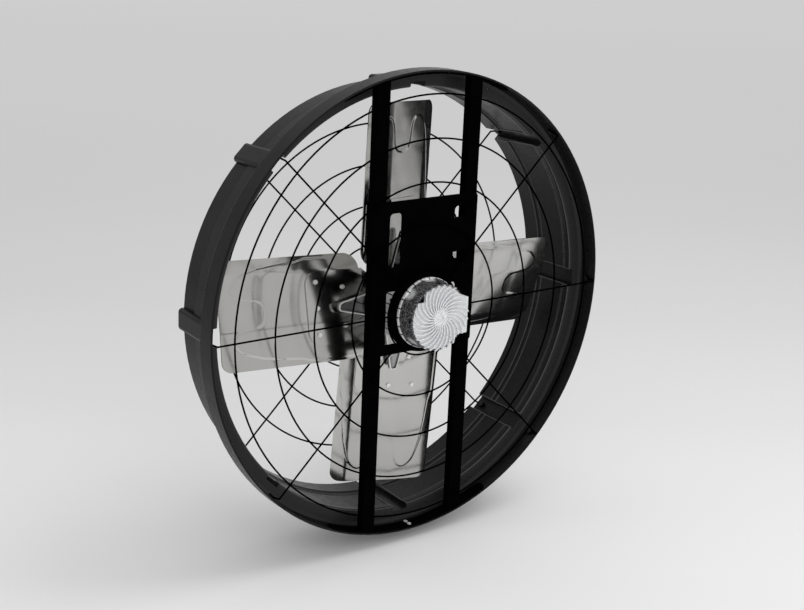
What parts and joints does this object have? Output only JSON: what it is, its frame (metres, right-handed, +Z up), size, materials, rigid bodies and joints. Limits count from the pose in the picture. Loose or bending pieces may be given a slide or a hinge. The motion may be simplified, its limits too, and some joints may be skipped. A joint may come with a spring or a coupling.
{
  "type": "axial wall fan",
  "caption": "Round black axial wall fan: sheet steel propeller driven by a motor on two bars inside a moulded ring with wire guards.",
  "frame": {"origin": "centre of the wall face of the ring's shoulder, on the fan's axis", "axes": "+Z up, +Y along the fan's axis through the wall, away from the motor, +X to the right seen from the motor side"},
  "size_m": [1.334, 0.349, 1.334],
  "materials": {
    "bearing_steel": "ground bearing steel",
    "black_fastener": "black screws and bolts",
    "black_steel": "black powder coat",
    "black_wire": "black plastic-dipped wire",
    "blade_steel": "satin sheet steel",
    "bright_steel": "bright sheet steel",
    "cast_aluminium": "bright cast aluminium",
    "copper_winding": "lacquered copper winding",
    "core_steel": "laminated electrical steel",
    "motor_shell": "dark speckled casting",
    "ring_plastic": "satin black moulded plastic",
    "zinc_fastener": "zinc plated"
  },
  "bodies": {
    "housing": {"housing_ring": "ring_plastic", "strap_top": "black_steel", "strap_bottom": "black_steel", "strap_rivets": "zinc_fastener", "left_bar": "black_steel", "right_bar": "black_steel", "motor_plate": "black_steel", "plate_bolts": "black_fastener", "plate_nuts": "black_fastener", "motor_flange": "black_steel", "flange_bolts": "black_fastener", "flange_nuts": "black_fastener", "motor_front_shell": "motor_shell", "motor_end_cap": "cast_aluminium", "cap_screws": "black_fastener", "motor_rear_shell": "motor_shell", "bearing_front": "bearing_steel", "bearing_rear": "bearing_steel", "stator_core": "core_steel", "stator_windings": "copper_winding", "front_guard": "black_wire", "rear_guard": "black_wire", "front_guard_screws": "black_fastener", "rear_guard_screws": "black_fastener"},
    "propeller": {"rotor_core": "core_steel", "motor_shaft": "bearing_steel", "shaft_key": "zinc_fastener", "hub_star": "bright_steel", "hub_boss": "bright_steel", "blade_carrier": "bright_steel", "blade_right": "blade_steel", "blade_top": "blade_steel", "blade_left": "blade_steel", "blade_bottom": "blade_steel", "blade_bolts": "zinc_fastener", "blade_nuts": "zinc_fastener", "hub_bolts": "zinc_fastener", "hub_nuts": "zinc_fastener", "hub_end_screw": "zinc_fastener"}
  },
  "joints": [
    {"name": "propeller_spin", "type": "hinge", "parent": "housing", "child": "propeller", "pos_m": [0, 0, 0], "axis": [0, 1, 0], "continuous": true}
  ]
}
